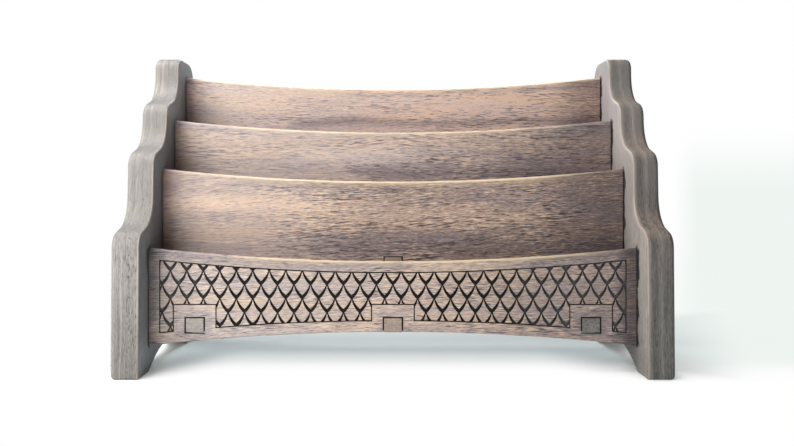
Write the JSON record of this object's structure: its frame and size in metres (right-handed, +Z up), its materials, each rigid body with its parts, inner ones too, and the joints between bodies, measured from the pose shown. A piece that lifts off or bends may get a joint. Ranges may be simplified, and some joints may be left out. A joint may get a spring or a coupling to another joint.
{
  "type": "letter holder",
  "caption": "Stepped wooden desk letter holder with dished cross panels, standing letter pockets and a carved fish-scale front between two stepped sides.",
  "frame": {"origin": "middle of the footprint, on the surface that the holder stands on", "axes": "+X across the holder to the right seen from the front, +Y to the back, +Z up"},
  "size_m": [0.2814, 0.115, 0.1721],
  "materials": {
    "side_wood": "dark walnut stain, matt, on laminated board, arrises worn lighter",
    "panel_wood": "dark walnut stain, matt, open grain along the panel, top arrises worn to pale wood",
    "floor_wood": "dark walnut stain, matt"
  },
  "bodies": {
    "root": {"left_side_outer": "side_wood", "left_side_inner": "side_wood", "right_side_outer": "side_wood", "right_side_inner": "side_wood", "front_panel": "panel_wood", "second_panel": "panel_wood", "third_panel": "panel_wood", "back_panel": "panel_wood", "lower_floor": "floor_wood", "middle_floor": "floor_wood", "upper_floor": "floor_wood"}
  },
  "joints": []
}
